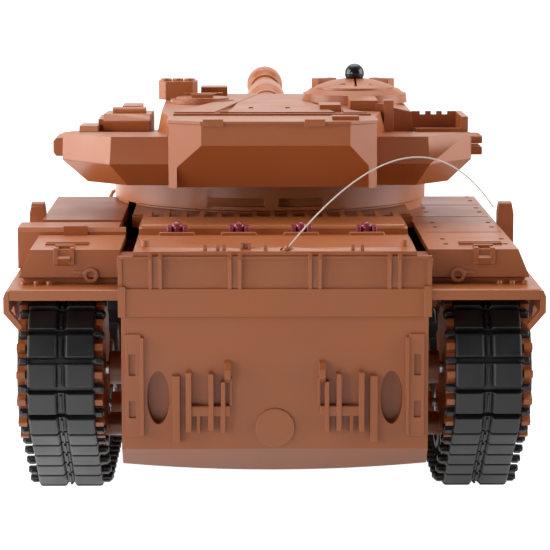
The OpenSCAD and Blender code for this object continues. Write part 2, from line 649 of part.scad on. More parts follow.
module speaker() color(dark) translate([0, 84, belly_z + 5]) {
    cylinder(h = 3, r = 14);
    cylinder(h = 8, r = 9);
}

module power_switch() color(dark) {
    span([-4.7, -0.3], [-66, -62], [13.4, 20]);
    span([-7.1, 2.1], [-68, -60.4], [19.6, 21.4]);
}

module headlight_lenses() color("#e8e6dc") both_sides() translate([62, 136.4, 68]) rotate([-90, 0, 0]) {
    cylinder(h = 1.8, r = 3.3);
    translate([0, 0, 1.6]) intersection() {
        translate([0, 0, -3]) sphere(r = 4.6);
        cylinder(h = 6, r = 3.3);
    }
}

// The wire leaves the hull's rear edge, bows over to the right and droops: a curve with one guiding point
antenna_y = -147;
antenna_r = 0.45;
antenna_start = [3.4, 86];
antenna_guide = [43.8, 137.1];
antenna_end = [68.8, 99.6];
antenna_steps = 16;
antenna_sides = 10;
function antenna_at(t) = antenna_start * pow(1 - t,
    2) + antenna_guide * 2 * t * (1 - t) + antenna_end * t * t;
function antenna_way(t) =
    let (d = (antenna_guide - antenna_start) * (1 - t) + (antenna_end - antenna_guide) * t) d / norm(d);
module antenna() color("#cfc8ba") {
    m = antenna_sides;
    points = [for (k = [0:antenna_steps]) let (p = antenna_at(k / antenna_steps),
        w = antenna_way(k / antenna_steps))
        for (j = [0:m - 1]) let (c = antenna_r * cos(j * 360 / m), s = antenna_r * sin(j * 360 / m))
            [p[0] - w[1] * c, antenna_y + s, p[1] + w[0] * c]];
    walls = [for (k = [0:antenna_steps - 1]) for (j = [0:m - 1]) let (n = (j + 1) % m)
        each [[k * m + j, (k + 1) * m + j, (k + 1) * m + n], [k * m + j, (k + 1) * m + n, k * m + n]]];
    polyhedron(points, concat(walls, [[for (j = [0:m - 1]) j],
        [for (j = [m - 1:-1:0]) antenna_steps * m + j]]));
}

// A small plug under the deck's rear edge, bored along the wire
module along_antenna() {
    rise = antenna_guide - antenna_start;
    translate([antenna_start[0], antenna_y, antenna_start[1]])
        rotate([0, 90 - atan2(rise[1], rise[0]), 0]) children();
}
module antenna_socket() color(plastic) difference() {
    along_antenna() translate([0, 0, -1.6]) cylinder(h = 3, r = 1.1);
    along_antenna() translate([0, 0, -1]) cylinder(h = 20, r = antenna_r + 0.15);
}

module hull_screws() color(steel) both_sides() for (y = screw_y) translate([screw_x, y, 0]) {
    translate([0, 0, seam_z - 10.4]) cylinder(h = 2.2, r = 2.2);
    translate([0, 0, seam_z - 8.3]) cylinder(h = 13, r = 1.2);
}

module traverse_motor() color(steel) translate([0, -ring_centres, 0]) {
    translate([0, 0, 50]) cylinder(h = 24, r = 10);
    translate([0, 0, 73.9]) cylinder(h = 2, r = 3);
    translate([0, 0, 75]) cylinder(h = 7, r = 0.94);
}

// ---------- turret ----------

hatch_at = [-25, -3];
hatch_pin = [9.2, roof_z + 1.8];    // y and z of the hatch's hinge pin
hatch_r = 9.6;
turret_low_z = 98.3;
turret_mid_z = 105.8;       // the crease between the turret's base and its upper shell
wing_z = 115.4;
wing_left = -73.6;
wing_right = 70.4;
wing_slope_y = -50;         // the wings are level behind this line and slope down in front of it
wing_fall = 0.0735;

function shifted(p, k) = [for (q = p) [q[0] * k, q[1] * k]];
function wing_top(y) = wing_z - max(0, y - wing_slope_y) * wing_fall;
// Plan outline of the turret at its widest height, from the rear left corner, clockwise from above
turret_plan = [[-56, -70], [wing_left, -50], [wing_left - 1, 16], [-58, 58], [-21, 76], [21, 76],
    [54, 58], [wing_right + 0.6, 16], [wing_right, -50], [54.3, -70]];
turret_low_plan = [[-50, -66], [-64.6, -52], [-62, 12], [-46, 48], [-21, 60], [21, 60],
    [46, 48], [60, 12], [62, -52], [50, -66]];
turret_top_plan = [[-55.4, -69.6], [-73.3, -50.4], [-72.6, 10], [-50, 46], [-21, 62], [21, 62],
    [48, 46], [69.4, 10], [69.8, -50.4], [53.8, -69.6]];
roof_low_plan = [[-36.2, -69.5], [-40.4, -40], [-41, 40], [-30, 60], [30, 60], [43, 40], [42, -36],
    [36.4, -58], [36.4, -69.5]];
roof_top_plan = [[-35.6, -69], [-38.8, -40], [-39, 28], [-26, 46], [26, 46], [40, 28], [40, -36],
    [35.8, -58], [35.8, -69]];
left_plate = [[-34, -63], [-20, -63], [-4, 33], [-8, 33]];
right_plate = [[25, -63], [33, -63], [26, -46], [25, -46]];

module layer(z, points) upright([z, z + 0.01], points);
module turret_base() color(plastic) difference() {
    union() {
        hull() { layer(turret_low_z, turret_low_plan); layer(turret_mid_z - 0.01, turret_plan); }
        translate([0, 0, 88.3]) cylinder(h = turret_low_z - 88.2, r = plinth_r, $fn = 96);
        translate([0, 0, ring_z + ring_t]) cylinder(h = 12, r = neck_r);
    }
    translate([0, 0, 70]) cylinder(h = 40, r = neck_r - 3);
    hull() {
        layer(turret_low_z + 2, shifted(turret_low_plan, 0.93));
        layer(turret_mid_z + 1, shifted(turret_plan, 0.95));
    }
    gun_slot(96.8, 130);
    // recesses in the plinth under the bustle, either side of a post
    for (x = [[-29, -2.4], [2.4, 18]]) span(x, [-60, -53], [89.6, 92.6]);
    for (a = [45:90:315]) rotate([0, 0, a]) translate([neck_r - 1.5, 0, 70]) cylinder(h = 20, r = 0.8);
}

// Opening in the turret's front for the mantlet, between two heights
module gun_slot(low, high) {
    span([-19.4, 19.4], [trunnion_y, 90], [low, high]);
    intersection() {
        bar([-19.4, 19.4], [trunnion_y, trunnion_z], mantlet_r + 0.6);
        span([-20, 20], [0, 90], [low, high]);
    }
}

module trunnion_blocks() both_sides() difference() {
    span([19.6, 24], [trunnion_y - 6, trunnion_y + 7], [100.4, 117]);
    bar([15, 30], [trunnion_y, trunnion_z], 2 + run_gap);
}

// The space under the wings' top faces, lowered by drop
module under_wings(drop) {
    across([-80, 80], [[-90, 90], [-90, wing_z - drop], [wing_slope_y, wing_z - drop],
        [90, wing_top(90) - drop], [90, 90]]);
}

module turret_shell() color(plastic) difference() {
    union() {
        difference() {
            union() {
                intersection() {
                    hull() { layer(turret_mid_z + 0.05, turret_plan); layer(wing_z, turret_top_plan); }
                    under_wings(0);
                }
                hull() {
                    layer(turret_mid_z + 1.4, roof_low_plan);
                    layer(wing_z - 1, roof_low_plan);
                    layer(roof_z - 0.01, roof_top_plan);
                }
            }
            intersection() {
                hull() {
                    layer(turret_mid_z - 1, shifted(turret_plan, 0.95));
                    layer(wing_z, shifted(turret_top_plan, 0.93));
                }
                under_wings(wall);
            }
            hull() {
                layer(turret_mid_z, shifted(roof_low_plan, 0.92));
                layer(roof_z - 2, shifted(roof_top_plan, 0.92));
            }
        }
        trunnion_blocks();
        // pedestal and post behind the cupola, and the box beside it
        upright([wing_z - 0.6, 126], [[28, -44], [37.8, -44], [37.8, -20], [28, -20]]);
        span([39.6, 43], [-49, -44], [wing_z - 3, 126.4]);
        span([37, 40.4], [-46, -44], [wing_z, 125]);
        along([-38, 22], [[40, wing_z - 3], [40, roof_z + 0.6], [43, roof_z + 0.8], [50, roof_z - 0.8],
            [51, wing_z - 5]]);
        upright([roof_z - 0.1, roof_z + 1.1], left_plate);
        upright([roof_z - 0.1, roof_z + 0.9], right_plate);
        // small rear lip, roof plates
        span([-34, 34], [-68.8, -67.2], [roof_z - 0.1, roof_z + 0.9]);
        upright([roof_z - 0.1, roof_z + 0.9], [[-15, -61], [-9, 30], [8, 30], [22, -61]]);
        span([17, 24.6], [-48, -34], [roof_z - 0.1, roof_z + 2.4]);
        span([-18, -15], [-66, -63], [roof_z - 0.1, roof_z + 1.5]);
        translate([hatch_at[0], hatch_at[1], roof_z - 0.2]) cylinder(h = 1.6, r = hatch_r + 2.2);
        for (dx = [-7.4, 5.4]) span([hatch_at[0] + dx, hatch_at[0] + dx + 2],
            [hatch_pin[0] - 1.5, hatch_pin[0] + 1.5], [roof_z - 0.1, hatch_pin[1] + 1.1]);
    }
    gun_slot(90, roof_z - 1.2);
    translate([hatch_at[0], hatch_at[1], roof_z + 0.1]) cylinder(h = 4, r = hatch_r + 0.4);
    bar([hatch_at[0] - 10, hatch_at[0] + 10], hatch_pin, 0.7 + run_gap);
    bar([hatch_at[0] - 5.4, hatch_at[0] + 5.4], hatch_pin, 1.1 + free_gap);    // room for the knuckle
    translate([cupola_at[0], cupola_at[1], roof_z + 0.02]) cylinder(h = 12, r = cupola_r + 0.2);
    for (x = [-8, 5]) span([x, x + 1.6], [-44, -38], [roof_z + 0.2, roof_z + 4]);
}

bustle_back = -96;
bustle_plan = [[-35.1, -70.1], [-35.1, bustle_back + 6.9], [-24, bustle_back],
    [25.8, bustle_back], [35.1, bustle_back + 6.9], [35.1, -70.1]];
bustle_low_z = 99.7;
bustle_fold_z = 114.6;      // the rear face slopes forward below this height
module bustle_box() color(plastic) {
    difference() {
        upright([bustle_low_z, roof_z - 0.6], bustle_plan);
        across([-32.2, 32.2], [[bustle_back - 1, bustle_low_z - 1], [bustle_back - 1, bustle_fold_z],
            [bustle_back, bustle_fold_z], [bustle_back + 9.9, bustle_low_z],
            [bustle_back + 9.9, bustle_low_z - 1]]);
        span([-30, 30], [-82, -72], [103, roof_z - 2.6]);
    }
    // lid with a lip, hinge blocks and a handle
    upright([roof_z - 0.7, roof_z + 0.3], [for (p = bustle_plan) [p[0] * 1.01,
        p[1] < -71 ? p[1] - 0.6 : p[1]]]);
    for (x = [-20, 14]) span([x - 3.4, x + 3.4], [bustle_back - 0.9, bustle_back + 1.4],
        [roof_z - 1.4, roof_z + 1.1]);
    span([20, 29], [-90, -84], [roof_z, roof_z + 1.6]);
}

cupola_at = [31.4, 2];
cupola_r = 19.5;
ball_z = roof_z + 10.6;
ball_r = 3.6;
module cupola() color(plastic) translate([cupola_at[0], cupola_at[1], 0]) {
    difference() {
        union() {
            translate([0, 0, roof_z + 0.05]) cylinder(h = 3.4, r1 = cupola_r, r2 = cupola_r - 0.4);
            translate([0, 0, roof_z + 3.4]) cylinder(h = 1.6, r1 = 18.4, r2 = 16.4);
            translate([0, 0, roof_z + 4.9]) intersection() {
                translate([0, 0, -31.6]) sphere(r = 35.6, $fn = 96);
                cylinder(h = 8, r = 14.6);
            }
            // periscope blocks on the far side
            for (a = [52, 128]) rotate([0, 0, a]) translate([15.6, -4.4, roof_z + 3]) cube([4, 8.8, 5]);
        }
        span([-0.4, 0.4], [-16, 0], [roof_z + 6.6, roof_z + 14]);
        translate([0, 0, roof_z + 1]) cylinder(h = 20, r = 1.6);
        translate([0, 0, ball_z]) sphere(r = ball_r + 0.15);
        for (x = [-6.4, 5]) span([x, x + 2.6], [-11, -9.4], [roof_z + 7, roof_z + 12]);
    }
}

module receiver_dome() color(dark) translate([cupola_at[0], cupola_at[1], 0]) {
    translate([0, 0, roof_z + 1.4]) cylinder(h = 8, r = 1.5);
    translate([0, 0, ball_z]) sphere(r = ball_r);
}

sight_x = [-41.8, -27.3];
sight_z = 129.2;
module gunner_sight() color(plastic) {
    difference() {
        upright([roof_z + 0.05, sight_z], [[sight_x[0], 16], [sight_x[0] + 2.6, 12.6],
            [sight_x[1] - 1.6, 12.6], [sight_x[1], 16], [sight_x[1], 27], [sight_x[0], 27]]);
        span([sight_x[0] + 2, sight_x[1] - 2], [25, 28], [roof_z + 1.4, 128]);
    }
    for (x = [-39, -34.6, -30.2]) translate([x, 19, sight_z - 0.1]) cylinder(h = 1, r = 2);
    span([-26, -16], [24, 36], [roof_z + 0.05, 126.4]);
    span([-27.4, -25.9], [24, 27], [roof_z + 0.05, 124]);
}

module smoke_launchers() color(plastic) {
    // left: one chamfered block on the wing's side
    along([-24, -4], [[wing_left - 0.9, 104.6], [wing_left - 4.2, 104.6], [wing_left - 5.2, 106],
        [wing_left - 5.2, 110], [wing_left - 4.2, 111.2], [wing_left - 0.9, 111.2]]);
    // right: two stacked rows of stubs on a plate
    span([wing_right + 0.7, wing_right + 2.2], [-26, -6], [104, 112]);
    for (y = [-22, -16, -10]) for (z = [106.3, 110.4]) bar([wing_right + 2, wing_right + 6.4], [y, z], 1.5);
}

// Open stowage bin with a low rear wall and a notched front wall
bin_x = [51.2, 69.4];
bin_y = [-48, -20];
bin_top = 120.6;
bin_wall = 1.3;
module side_bin_right() color(plastic) difference() {
    across(bin_x, [[bin_y[0], wing_top(bin_y[0]) + 0.05], [bin_y[1], wing_top(bin_y[1]) + 0.05],
        [bin_y[1], bin_top], [bin_y[0], bin_top]]);
    across([bin_x[0] - 1, bin_x[1] - 2.2], [[bin_y[0] - 1, wing_z + 1.2],
        [bin_y[1] - bin_wall, wing_top(bin_y[1]) + 1.4], [bin_y[1] - bin_wall, bin_top + 5],
        [bin_y[0] - 1, bin_top + 5]]);
    for (i = [0:2]) span([bin_x[0] + 3 + i * 4, bin_x[0] + 5 + i * 4], [bin_y[1] - 5, bin_y[1] + 5],
        [bin_top - 1.2, bin_top + 1]);
}

// Stowage lashed to the left wing: a bin with bevelled edges, a roll and two packs
module side_bin_left() color(plastic) {
    across([-60, -43.2], [[-34, wing_top(-34) + 0.05], [-34, 118], [-31, 120.4], [4, 119], [8, 117],
        [8, wing_top(8) + 0.05]]);
    across([-68, -61.5], [[-44, wing_top(-44) + 0.05], [-42, 117], [-22, 116.4],
        [-20, wing_top(-20) + 0.05]]);
    bar([-57, -45], [-24, 120.2], 2.2);
    span([-54, -47], [-14, 2], [119, 122]);
    span([-62, -58.5], [-30, -8], [wing_top(-30) + 0.05, 118.4]);
}

module loader_hatch() color(plastic) {
    translate([hatch_at[0], hatch_at[1], roof_z + 0.2]) cylinder(h = 1.9, r = hatch_r);
    span([hatch_at[0] - 4, hatch_at[0] + 4], [hatch_at[1] - 4, hatch_at[1] - 2.6],
        [roof_z + 2, roof_z + 3.4]);
    span([hatch_at[0] - 5, hatch_at[0] + 5], [hatch_at[1] + 8, hatch_pin[0]], [roof_z + 1.5, roof_z + 2.9]);
    bar([hatch_at[0] - 5.2, hatch_at[0] + 5.2], hatch_pin, 1.1);
    bar([hatch_at[0] - 7.2, hatch_at[0] + 7.2], hatch_pin, 0.7);
}

module gun_frame() translate([0, trunnion_y, trunnion_z]) rotate([gun_rest, 0, 0]) children();

module mantlet() color(plastic) gun_frame() difference() {
    union() {
        rotate([0, 90, 0]) cylinder(h = 37.6, r = mantlet_r, center = true, $fn = 72);
        across([-15, 15], [[4, -9.4], [30, -7.6], [38, -5], [38, 5], [30, 8.4], [7, 9.6]]);
        rotate([0, 90, 0]) cylinder(h = 47, r = 2, center = true);
        rotate([-90, 0, 0]) translate([0, 0, 37.8]) cylinder(h = 3, r = 8.4);
    }
    rotate([-90, 0, 0]) translate([0, 0, 20]) cylinder(h = 40, r = 5.05);
    translate([11, 0, 2.6]) rotate([-90, 0, 0]) translate([0, 0, 30]) cylinder(h = 20, r = 1);
}

module gun_barrel() color(plastic) gun_frame() rotate([-90, 0, 0]) difference() {
    rotate_extrude($fn = 64) polygon([[0, 20.2], [5, 20.2], [5, 44], [7, 44], [7, 62], [6.5, 63],
        [6.5, 104], [7.2, 105.5], [8.2, 109], [8.2, 132], [7.2, 135.5], [6.2, 137],
        [6, gun_len - 14], [7.6, gun_len - 12.5], [8.2, gun_len - 10], [8.2, gun_len - 1],
        [7.4, gun_len], [0, gun_len]]);
    translate([0, 0, gun_len - 14]) cylinder(h = 20, r = 3.6);
    translate([0, 0, gun_len - 22]) cylinder(h = 20, r = 2.5);
}

module emitter_led() color("#dfe6ea") gun_frame() rotate([-90, 0, 0]) translate([0, 0, gun_len - 21]) {
    cylinder(h = 5, r = 2.4);
    translate([0, 0, 5]) sphere(r = 2.4);
}

module turret_gear() color(nylon) difference() {
    translate([0, 0, ring_z]) linear_extrude(ring_t - 0.05) rotate([0, 0, -90])
        spur_outline(ring_module, ring_teeth, 0.2, 3);
    translate([0, 0, 70]) cylinder(h = 20, r = neck_r - 3);
    for (a = [45:90:315]) rotate([0, 0, a]) translate([neck_r - 1.5, 0, 70]) cylinder(h = 20, r = 1);
}

module traverse_pinion() color(nylon) difference() {
    translate([0, -ring_centres, ring_z - 0.8]) linear_extrude(ring_t + 1.6)
        rotate([0, 0, 90 + 180 / ring_pinion_teeth])
        spur_outline(ring_module, ring_pinion_teeth, 0.2, 3);
    translate([0, -ring_centres, 70]) cylinder(h = 20, r = 1);
}

module turret_screws() color(steel) for (a = [45:90:315]) rotate([0, 0, a])
    translate([neck_r - 1.5, 0, 0]) {
    translate([0, 0, ring_z - 1.6]) cylinder(h = 1.5, r = 1.5);
    translate([0, 0, ring_z - 0.2]) cylinder(h = 8, r = 0.75);
}

// ---------- nodes ----------

lower_hull();
upper_hull();
rear_deck();
deck_lamps();
side_skirt(-1);  // side_skirt_left
side_skirt(1);  // side_skirt_right
track(-1);  // track_left
track(1);  // track_right
battery_cover();
battery_pack();
circuit_board();
antenna();
antenna_socket();
gearbox_housings();
drive_motors();
headlight_lenses();
hull_screws();
stub_axles();
traverse_motor();
speaker();
power_switch();
sprocket(-1);  // sprocket_left
sprocket(1);  // sprocket_right
drive_axle(-1);  // drive_axle_left
drive_axle(1);  // drive_axle_right
output_gear(-1);  // output_gear_left
output_gear(1);  // output_gear_right
pinion(-1);  // pinion_left
pinion(1);  // pinion_right
idler(-1);  // idler_left
idler(1);  // idler_right
road_wheel(-1, 1);  // road_wheel_left_1
road_wheel(-1, 2);  // road_wheel_left_2
road_wheel(-1, 3);  // road_wheel_left_3
road_wheel(-1, 4);  // road_wheel_left_4
road_wheel(-1, 5);  // road_wheel_left_5
road_wheel(-1, 6);  // road_wheel_left_6
road_wheel(1, 1);  // road_wheel_right_1
road_wheel(1, 2);  // road_wheel_right_2
road_wheel(1, 3);  // road_wheel_right_3
road_wheel(1, 4);  // road_wheel_right_4
road_wheel(1, 5);  // road_wheel_right_5
road_wheel(1, 6);  // road_wheel_right_6
turret_base();
turret_shell();
bustle_box();
cupola();
receiver_dome();
gunner_sight();
smoke_launchers();
side_bin_left();
side_bin_right();
loader_hatch();
mantlet();
gun_barrel();
emitter_led();
turret_gear();
traverse_pinion();
turret_screws();
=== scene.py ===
"""Looks of the radio-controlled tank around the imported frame: materials, tracks, details, light and camera."""
import json
import math

import bmesh
import bpy
from mathutils import Euler, Matrix, Vector


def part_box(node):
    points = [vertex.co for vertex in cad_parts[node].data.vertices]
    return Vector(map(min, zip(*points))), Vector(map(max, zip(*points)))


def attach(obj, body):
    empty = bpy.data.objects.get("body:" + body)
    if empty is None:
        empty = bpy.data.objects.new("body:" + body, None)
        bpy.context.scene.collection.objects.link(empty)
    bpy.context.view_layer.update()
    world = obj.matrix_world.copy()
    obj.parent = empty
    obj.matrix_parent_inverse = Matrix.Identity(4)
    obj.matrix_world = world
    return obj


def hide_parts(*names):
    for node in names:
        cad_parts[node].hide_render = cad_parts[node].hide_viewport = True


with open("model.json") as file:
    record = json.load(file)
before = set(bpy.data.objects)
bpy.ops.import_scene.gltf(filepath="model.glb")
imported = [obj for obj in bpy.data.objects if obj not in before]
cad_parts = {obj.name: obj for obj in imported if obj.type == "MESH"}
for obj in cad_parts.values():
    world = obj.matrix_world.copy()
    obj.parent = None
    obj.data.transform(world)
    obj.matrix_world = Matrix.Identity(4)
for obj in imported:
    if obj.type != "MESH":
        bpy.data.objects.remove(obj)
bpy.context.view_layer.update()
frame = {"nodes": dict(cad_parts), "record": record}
MM = 0.001
TURN = 2 * math.pi
RECORD = frame["record"]
SLOT = {part["node"]: part["material_slot"] for part in RECORD["subparts"]}
BODY = {node: body for body, nodes in RECORD["behaviour"]["bodies"].items() for node in nodes}


def new_object(name, data):
    """An object in the scene that shows the data."""
    made = bpy.data.objects.new(name, data)
    bpy.context.scene.collection.objects.link(made)
    return made


# ---------- node helpers ----------

class Nodes:
    """A short way to build a material's node tree."""

    def __init__(self, name):
        self.material = bpy.data.materials.new(name)
        self.material.use_nodes = True
        self.tree = self.material.node_tree
        self.bsdf = self.tree.nodes["Principled BSDF"]

    def add(self, kind, inputs=None, **settings):
        node = self.tree.nodes.new(kind)
        for key, value in settings.items():
            setattr(node, key, value)
        for key, value in (inputs or {}).items():
            self.put(value, node.inputs[key])
        return node

    def put(self, value, socket):
        if isinstance(value, bpy.types.NodeSocket):
            self.tree.links.new(value, socket)
        else:
            socket.default_value = value

    def set(self, **inputs):
        for key, value in inputs.items():
            self.put(value, self.bsdf.inputs[key.replace("_", " ")])

    def coords(self):
        return self.add("ShaderNodeTexCoord").outputs["Object"]

    def noise(self, scale, detail=3.0, rough=0.5):
        node = self.add("ShaderNodeTexNoise", {"Scale": scale, "Detail": detail, "Roughness": rough})
        self.put(self.coords(), node.inputs["Vector"])
        return node.outputs["Fac"]

    def map(self, value, low, high, to_low, to_high):
        ends = {"From Min": low, "From Max": high, "To Min": to_low, "To Max": to_high}
        node = self.add("ShaderNodeMapRange", ends)
        self.put(value, node.inputs["Value"])
        return node.outputs["Result"]

    def mix(self, factor, a, b):
        node = self.add("ShaderNodeMix", data_type="RGBA", blend_type="MIX")
        self.put(factor, node.inputs[0])
        self.put(a, node.inputs[6])
        self.put(b, node.inputs[7])
        return node.outputs[2]

    def bump(self, height, distance, strength, normal):
        node = self.add("ShaderNodeBump", {"Strength": strength, "Distance": distance})
        self.put(height, node.inputs["Height"])
        self.put(normal, node.inputs["Normal"])
        return node.outputs["Normal"]

    def round_edges(self, radius):
        return self.add("ShaderNodeBevel", {"Radius": radius}, samples=4).outputs["Normal"]


def rgb(r, g, b):
    return (r, g, b, 1.0)


# ---------- materials ----------

def moulded_plastic(name, deep, light):
    """Satin plastic: slightly mottled, with the faint grain of a spark-eroded mould."""
    n = Nodes(name)
    broad = n.noise(14.0, 2.0)
    fine = n.noise(1500.0, 2.0, 0.6)
    colour = n.mix(n.map(broad, 0.35, 0.65, 0.0, 1.0), rgb(*deep), rgb(*light))
    normal = n.bump(fine, 0.02 * MM, 0.2, n.round_edges(0.3 * MM))
    n.set(Base_Color=colour, Normal=normal, Roughness=n.map(n.noise(55.0), 0.3, 0.7, 0.3, 0.4))
    n.set(Specular_IOR_Level=0.5)
    return n.material


def plain(name, colour, roughness, metallic=0.0):
    """One colour, slightly mottled, for small parts."""
    n = Nodes(name)
    darker = [c * 0.86 for c in colour]
    shade = n.mix(n.map(n.noise(90.0), 0.3, 0.7, 0.0, 1.0), rgb(*darker), rgb(*colour))
    n.set(Base_Color=shade, Roughness=roughness, Metallic=metallic)
    n.set(Normal=n.bump(n.noise(900.0), 0.01 * MM, 0.2, n.round_edges(0.12 * MM)))
    return n.material


def rubber(name):
    """Matt black rubber, greyer where it has been handled."""
    n = Nodes(name)
    worn = n.map(n.noise(38.0, 4.0, 0.65), 0.42, 0.72, 0.0, 1.0)
    n.set(Base_Color=n.mix(worn, rgb(0.006, 0.006, 0.007), rgb(0.016, 0.015, 0.016)))
    n.set(Roughness=n.map(worn, 0.0, 1.0, 0.42, 0.6))
    n.set(Normal=n.bump(n.noise(700.0, 3.0), 0.03 * MM, 0.35, n.round_edges(0.2 * MM)))
    return n.material


LOOKS = {
    "sand_plastic": moulded_plastic("sand_plastic", (0.355, 0.098, 0.026), (0.4, 0.118, 0.034)),
    "track_rubber": rubber("track_rubber"),
    "red_clear_plastic": plain("red_lamp", (0.26, 0.028, 0.05), 0.18),
    "clear_plastic": plain("clear_lens", (0.8, 0.82, 0.8), 0.08),
    "antenna_wire": plain("wire", (0.72, 0.6, 0.52), 0.32),
    "black_plastic": plain("black_plastic", (0.008, 0.009, 0.012), 0.1),
    "steel": plain("steel", (0.6, 0.61, 0.63), 0.3, 1.0),
    "nylon": plain("nylon", (0.82, 0.79, 0.7), 0.45),
    "pinion_brass": plain("brass", (0.72, 0.52, 0.22), 0.3, 1.0),
    "battery_wrap": plain("battery_wrap", (0.05, 0.2, 0.45), 0.25),
    "board_green": plain("board_green", (0.03, 0.14, 0.06), 0.4),
}
for name, slot in SLOT.items():
    node = frame["nodes"][name]
    node.data.materials.clear()
    node.data.materials.append(LOOKS[slot])


# ---------- mesh helpers ----------

class Shape:
    """One piece's mesh, put together from solids with rounded edges. Its lengths are in millimetres."""

    def __init__(self):
        self.mesh = bmesh.new()

    def take(self, solid, edge=0.3, place=None):
        """Rounds a solid's sharp edges and adds it to the piece."""
        bmesh.ops.recalc_face_normals(solid, faces=solid.faces)
        if edge:
            sharp = math.radians(28.0)
            corners = [e for e in solid.edges if e.is_manifold and e.calc_face_angle(0.0) > sharp]
            bmesh.ops.bevel(solid, geom=corners, offset=edge, offset_type="OFFSET", segments=2,
                            profile=0.5, affect="EDGES", clamp_overlap=True)
        if place is not None:
            bmesh.ops.transform(solid, matrix=place, verts=solid.verts)
        holder = bpy.data.meshes.new("holder")
        solid.to_mesh(holder)
        solid.free()
        self.mesh.from_mesh(holder)
        bpy.data.meshes.remove(holder)

    def block(self, x, y, z, **rest):
        """A box between two values of x, of y and of z."""
        self.prism("Z", [(x[0], y[0]), (x[1], y[0]), (x[1], y[1]), (x[0], y[1])], z[0], z[1], **rest)

    def prism(self, axis, points, low, high, **rest):
        """An outline in the other two axes, in X, Y, Z order, extruded along axis."""
        put = {"X": lambda a, b, c: (c, a, b),
               "Y": lambda a, b, c: (a, c, b),
               "Z": lambda a, b, c: (a, b, c)}[axis]
        solid = bmesh.new()
        base = [solid.verts.new(put(a, b, low)) for a, b in points]
        top = [solid.verts.new(put(a, b, high)) for a, b in points]
        solid.faces.new(base)
        solid.faces.new(top)
        for i in range(len(points)):
            solid.faces.new((base[i - 1], base[i], top[i], top[i - 1]))
        self.take(solid, **rest)

    def bar(self, start, end, radius, sides=24, edge=0.2):
        """A round bar between two points."""
        start, end = Vector(start), Vector(end)
        solid = bmesh.new()
        bmesh.ops.create_cone(solid, cap_ends=True, segments=sides, radius1=radius, radius2=radius,
                              depth=(end - start).length)
        turn = (end - start).to_track_quat("Z", "Y").to_matrix().to_4x4()
        bmesh.ops.transform(solid, matrix=Matrix.Translation((start + end) / 2) @ turn, verts=solid.verts)
        self.take(solid, edge=edge)

    def ball(self, centre, radius):
        solid = bmesh.new()
        bmesh.ops.create_uvsphere(solid, u_segments=32, v_segments=16, radius=radius)
        bmesh.ops.transform(solid, matrix=Matrix.Translation(centre), verts=solid.verts)
        self.take(solid, edge=0)

    def lathe(self, profile, edge, axis="X"):
        """A closed profile of (radius, distance along the axis) turned about the X or Y axis."""
        solid = bmesh.new()
        sides = 72
        rings = []
        for k in range(sides):
            c, s = math.cos(TURN * k / sides), math.sin(TURN * k / sides)
            put = {"X": lambda r, h: (h, r * c, r * s), "Y": lambda r, h: (r * c, h, r * s)}[axis]
            rings.append([solid.verts.new(put(r, h)) for r, h in profile])
        for k in range(sides):
            a, b = rings[k - 1], rings[k]
            for i in range(len(profile)):
                solid.faces.new((a[i - 1], a[i], b[i], b[i - 1]))
        bmesh.ops.remove_doubles(solid, verts=solid.verts, dist=1e-5)
        bmesh.ops.dissolve_degenerate(solid, edges=solid.edges, dist=1e-5)
        self.take(solid, edge=edge)

    def sweep(self, points, radius):
        """A round wire through a list of points, with the tube's ends closed."""
        points = [Vector(p) for p in points]
        solid = bmesh.new()
        sides = 12
        rings = []
        for i, p in enumerate(points):
            way = (points[min(i + 1, len(points) - 1)] - points[max(i - 1, 0)]).normalized()
            side = way.cross(Vector((0, 1, 0)) if abs(way.y) < 0.9 else Vector((1, 0, 0))).normalized()
            other = way.cross(side)
            rings.append([solid.verts.new(p + radius * (side * math.cos(t) + other * math.sin(t)))
                          for t in [TURN * k / sides for k in range(sides)]])
        for a, b in zip(rings, rings[1:]):
            for k in range(sides):
                solid.faces.new((a[k - 1], a[k], b[k], b[k - 1]))
        solid.faces.new(rings[0])
        solid.faces.new(rings[-1])
        self.take(solid, edge=0)

    def belt(self, path, x0, x1, thickness):
        """A flat closed band along a path of (y, z, heading) points."""
        solid = bmesh.new()
        rows = []
        for y, z, t in path:
            dy, dz = math.sin(t) * thickness / 2, -math.cos(t) * thickness / 2
            corners = ((x0, y - dy, z - dz), (x1, y - dy, z - dz), (x1, y + dy, z + dz), (x0, y + dy, z + dz))
            rows.append([solid.verts.new(p) for p in corners])
        for k in range(len(rows)):
            for i in range(4):
                solid.faces.new((rows[k - 1][i - 1], rows[k - 1][i], rows[k][i], rows[k][i - 1]))
        self.take(solid, edge=0)

    def move(self, place, sign):
        """Moves the whole shape, first mirroring it if sign is negative."""
        if sign < 0:
            bmesh.ops.scale(self.mesh, vec=(-1, 1, 1), verts=self.mesh.verts)
            bmesh.ops.reverse_faces(self.mesh, faces=self.mesh.faces)
        bmesh.ops.translate(self.mesh, vec=place, verts=self.mesh.verts)

    def add(self, other, place):
        """Adds a copy of another shape."""
        self.take(other.mesh.copy(), edge=0, place=place)

    def piece(self, name, body, slot, replaces=()):
        """Turns the shape into an object that rides on a body and stands in for some CAD nodes."""
        bmesh.ops.scale(self.mesh, vec=(MM, MM, MM), verts=self.mesh.verts)
        for face in self.mesh.faces:
            face.smooth = True
        data = bpy.data.meshes.new(name)
        self.mesh.to_mesh(data)
        self.mesh.free()
        data.materials.append(LOOKS[slot])
        made = new_object(name, data)
        made.modifiers.new("flat faces", "WEIGHTED_NORMAL").keep_sharp = True
        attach(made, body)
        if replaces:
            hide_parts(*replaces)


EDGE_RADIUS = 0.3       # rounding of the mouldings' edges
SHARP = 24.0            # degrees from which an edge is rounded
FACE_SHARE = 0.42       # share of a face's width that one rounding may take
LEAST_ROUNDING = 0.12   # share of EDGE_RADIUS under which an edge is shaded as a sharp one
TEARING_PASSES = 4


